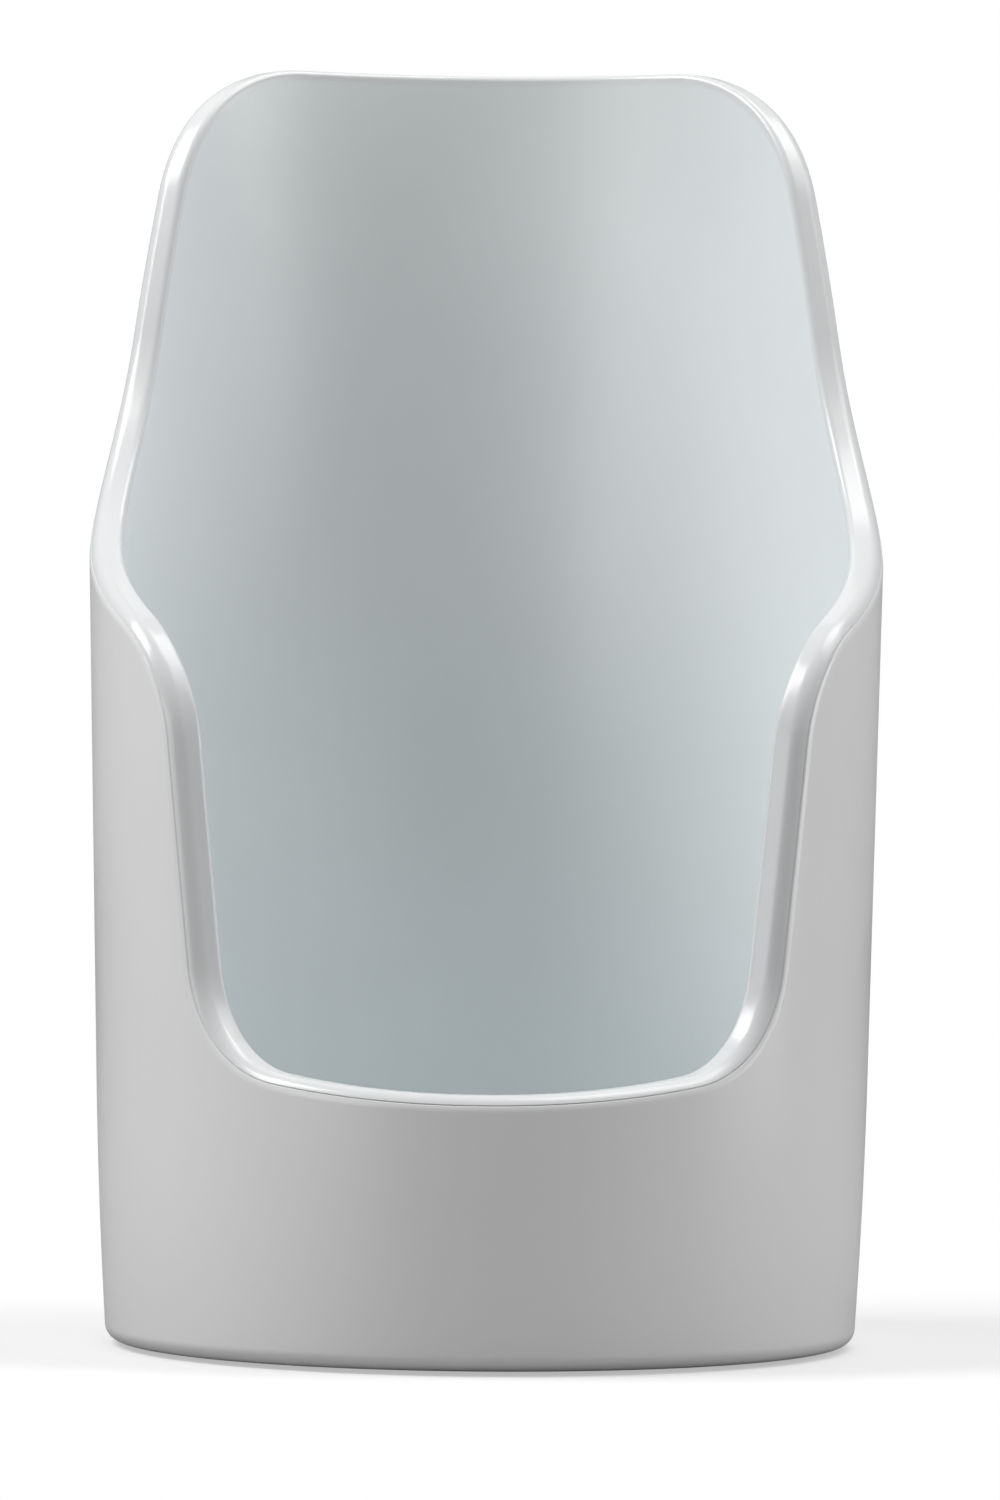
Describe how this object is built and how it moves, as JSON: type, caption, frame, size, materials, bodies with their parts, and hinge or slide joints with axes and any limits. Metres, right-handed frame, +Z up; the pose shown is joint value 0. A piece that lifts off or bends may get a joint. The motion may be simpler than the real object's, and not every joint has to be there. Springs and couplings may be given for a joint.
{
  "type": "bedpan",
  "caption": "Upright white bedpan tub with a high rounded back, low front lip and U-shaped notch; a liner with a rolled rim lifts out of the smooth outer casing.",
  "frame": {"origin": "middle of the base of the whole outline, on the surface that the pads stand on", "axes": "+Z up, +Y to the high back, -Y to the low front lip, +X to the right as seen from the front"},
  "size_m": [0.24, 0.2492, 0.393],
  "materials": {
    "casing_plastic": "smooth gloss, neutral white",
    "liner_plastic": "smooth gloss, faintly blue-green white",
    "pad_rubber": "matt grey, non-slip"
  },
  "bodies": {
    "casing": {"outer_shell": "casing_plastic", "foot_front_left": "pad_rubber", "foot_front_right": "pad_rubber", "foot_back_left": "pad_rubber", "foot_back_right": "pad_rubber"},
    "liner": {"inner_liner": "liner_plastic"}
  },
  "joints": [
    {"name": "liner_lift", "type": "slide", "parent": "casing", "child": "liner", "axis": [0, 0, 1], "range_m": [0, 0.4]}
  ]
}
